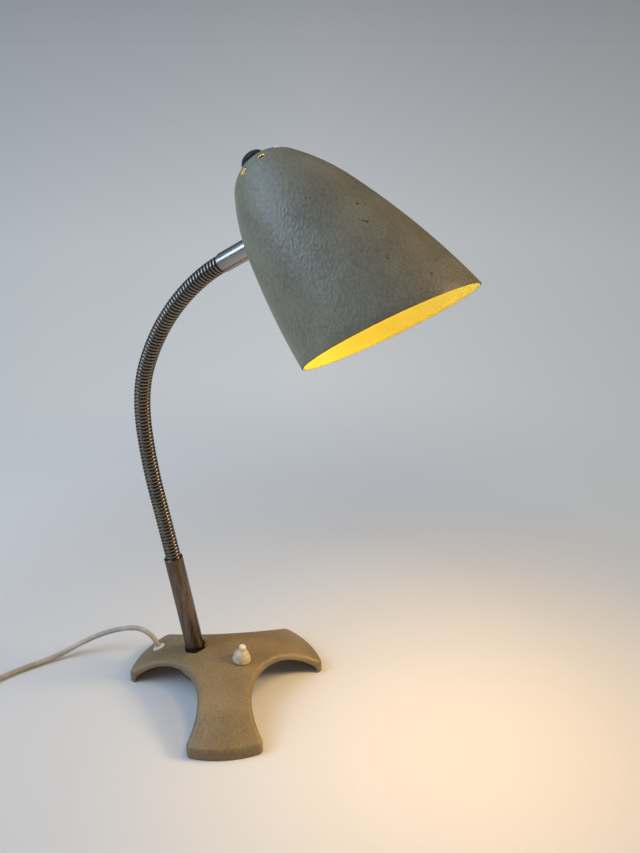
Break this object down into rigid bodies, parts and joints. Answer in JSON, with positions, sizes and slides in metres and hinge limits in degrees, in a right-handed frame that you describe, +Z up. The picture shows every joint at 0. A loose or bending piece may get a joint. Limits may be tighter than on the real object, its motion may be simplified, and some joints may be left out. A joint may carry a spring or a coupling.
{
  "type": "gooseneck desk lamp",
  "caption": "Gooseneck desk lamp with a three-legged cast foot, a wound steel neck, a bullet-shaped metal shade with an oblique mouth, a push switch and a cord with a plug.",
  "frame": {"origin": "on the table, under the middle of the box that holds the lamp without its cord", "axes": "+Z up; +X the way the lamp leans and its shade faces; the XZ plane halves the lamp"},
  "size_m": [0.5311, 0.2711, 0.4584],
  "materials": {
    "foot_paint": "hammered stoving paint over cast iron, taupe",
    "shade_paint": "hammered stoving paint over drawn steel, taupe",
    "fibre_sheet": "vulcanised fibre, dark",
    "zinc_plated_steel": "zinc plated",
    "burnished_steel": "burnished and browned",
    "gooseneck_steel": "dark wound steel, rubbed bright on its ridges",
    "ferrule_nickel": "nickel plated, a little dulled",
    "black_enamel": "black stoved enamel",
    "holder_phenolic": "dark phenolic moulding",
    "holder_porcelain": "glazed porcelain",
    "brass": "bright",
    "bulb_glass": "clear, lightly frosted",
    "bulb_cap_metal": "spun",
    "switch_urea": "cream urea moulding, aged",
    "grommet_rubber": "cream rubber",
    "cord_sheath": "grey flexible sheath",
    "plug_moulding": "grey moulded plug",
    "wire_cover": "single insulated wires"
  },
  "bodies": {
    "base": {"base_casting": "foot_paint", "base_cover": "fibre_sheet", "cover_screws": "zinc_plated_steel", "neck_nut": "burnished_steel", "lower_tube": "burnished_steel", "tube_plug": "zinc_plated_steel", "neck_nipple": "zinc_plated_steel", "neck_washer": "zinc_plated_steel", "neck_locknut": "zinc_plated_steel", "gooseneck_1": "gooseneck_steel", "switch_body": "holder_phenolic", "switch_nut": "switch_urea", "switch_spring": "zinc_plated_steel", "switch_terminals": "brass", "cord_grommet": "grommet_rubber", "cord_lead": "cord_sheath", "cord_clamp": "zinc_plated_steel", "clamp_screws": "zinc_plated_steel", "terminal_block": "holder_porcelain", "terminal_screws": "zinc_plated_steel", "supply_wires": "wire_cover", "neck_wires": "wire_cover", "switch_wires": "wire_cover", "cord_tube": "cord_sheath", "cord_tail": "cord_sheath", "cord_coil": "cord_sheath", "plug_body": "plug_moulding", "plug_pins": "brass"},
    "button": {"switch_button": "switch_urea"},
    "neck_2": {"gooseneck_2": "gooseneck_steel"},
    "neck_3": {"gooseneck_3": "gooseneck_steel"},
    "neck_4": {"gooseneck_4": "gooseneck_steel"},
    "neck_5": {"gooseneck_5": "gooseneck_steel"},
    "neck_6": {"gooseneck_6": "gooseneck_steel"},
    "neck_7": {"gooseneck_7": "gooseneck_steel"},
    "neck_8": {"gooseneck_8": "gooseneck_steel"},
    "neck_9": {"gooseneck_9": "gooseneck_steel"},
    "head": {"gooseneck_10": "gooseneck_steel", "top_ferrule": "ferrule_nickel", "ferrule_saddle": "zinc_plated_steel", "ferrule_nut": "zinc_plated_steel", "shade": "shade_paint", "apex_cap": "black_enamel", "holder_nipple": "zinc_plated_steel", "dished_washer": "zinc_plated_steel", "holder_cap": "holder_phenolic", "holder_insert": "holder_porcelain", "holder_skirt": "holder_phenolic", "thread_sleeve": "brass", "centre_contact": "brass", "bulb_glass": "bulb_glass", "bulb_cap": "bulb_cap_metal", "bulb_contact": "brass", "head_wires": "wire_cover"}
  },
  "joints": [
    {"name": "neck_bend_1", "type": "hinge", "parent": "base", "child": "neck_2", "pos_m": [-0.10809, 0, 0.14935], "axis": [0, 1, 0], "range_deg": [-18, 18]},
    {"name": "neck_side_2", "type": "hinge", "parent": "neck_2", "child": "neck_3", "pos_m": [-0.11374, 0, 0.17769], "axis": [0.9807, 0, 0.1956], "range_deg": [-15, 15]},
    {"name": "neck_bend_3", "type": "hinge", "parent": "neck_3", "child": "neck_4", "pos_m": [-0.1184, 0, 0.20621], "axis": [0, 1, 0], "range_deg": [-18, 18]},
    {"name": "neck_side_4", "type": "hinge", "parent": "neck_4", "child": "neck_5", "pos_m": [-0.12106, 0, 0.23498], "axis": [0.9984, 0, 0.0572], "range_deg": [-15, 15]},
    {"name": "neck_bend_5", "type": "hinge", "parent": "neck_5", "child": "neck_6", "pos_m": [-0.12019, 0, 0.26383], "axis": [0, 1, 0], "range_deg": [-18, 18]},
    {"name": "neck_side_6", "type": "hinge", "parent": "neck_6", "child": "neck_7", "pos_m": [-0.11312, 0, 0.29176], "axis": [0.929, 0, -0.3701], "range_deg": [-15, 15]},
    {"name": "neck_bend_7", "type": "hinge", "parent": "neck_7", "child": "neck_8", "pos_m": [-0.10036, 0, 0.31766], "axis": [0, 1, 0], "range_deg": [-18, 18]},
    {"name": "neck_side_8", "type": "hinge", "parent": "neck_8", "child": "neck_9", "pos_m": [-0.08371, 0, 0.34125], "axis": [0.7692, 0, -0.639], "range_deg": [-15, 15]},
    {"name": "neck_bend_9", "type": "hinge", "parent": "neck_9", "child": "head", "pos_m": [-0.06358, 0, 0.36194], "axis": [0, 1, 0], "range_deg": [-18, 18]},
    {"name": "switch_press", "type": "slide", "parent": "base", "child": "button", "axis": [-0.1132, 0, -0.9936], "range_m": [0, 0.003], "stiffness_N_per_m": 400, "springref_m": -0.002, "deforming": ["switch_spring"]}
  ]
}
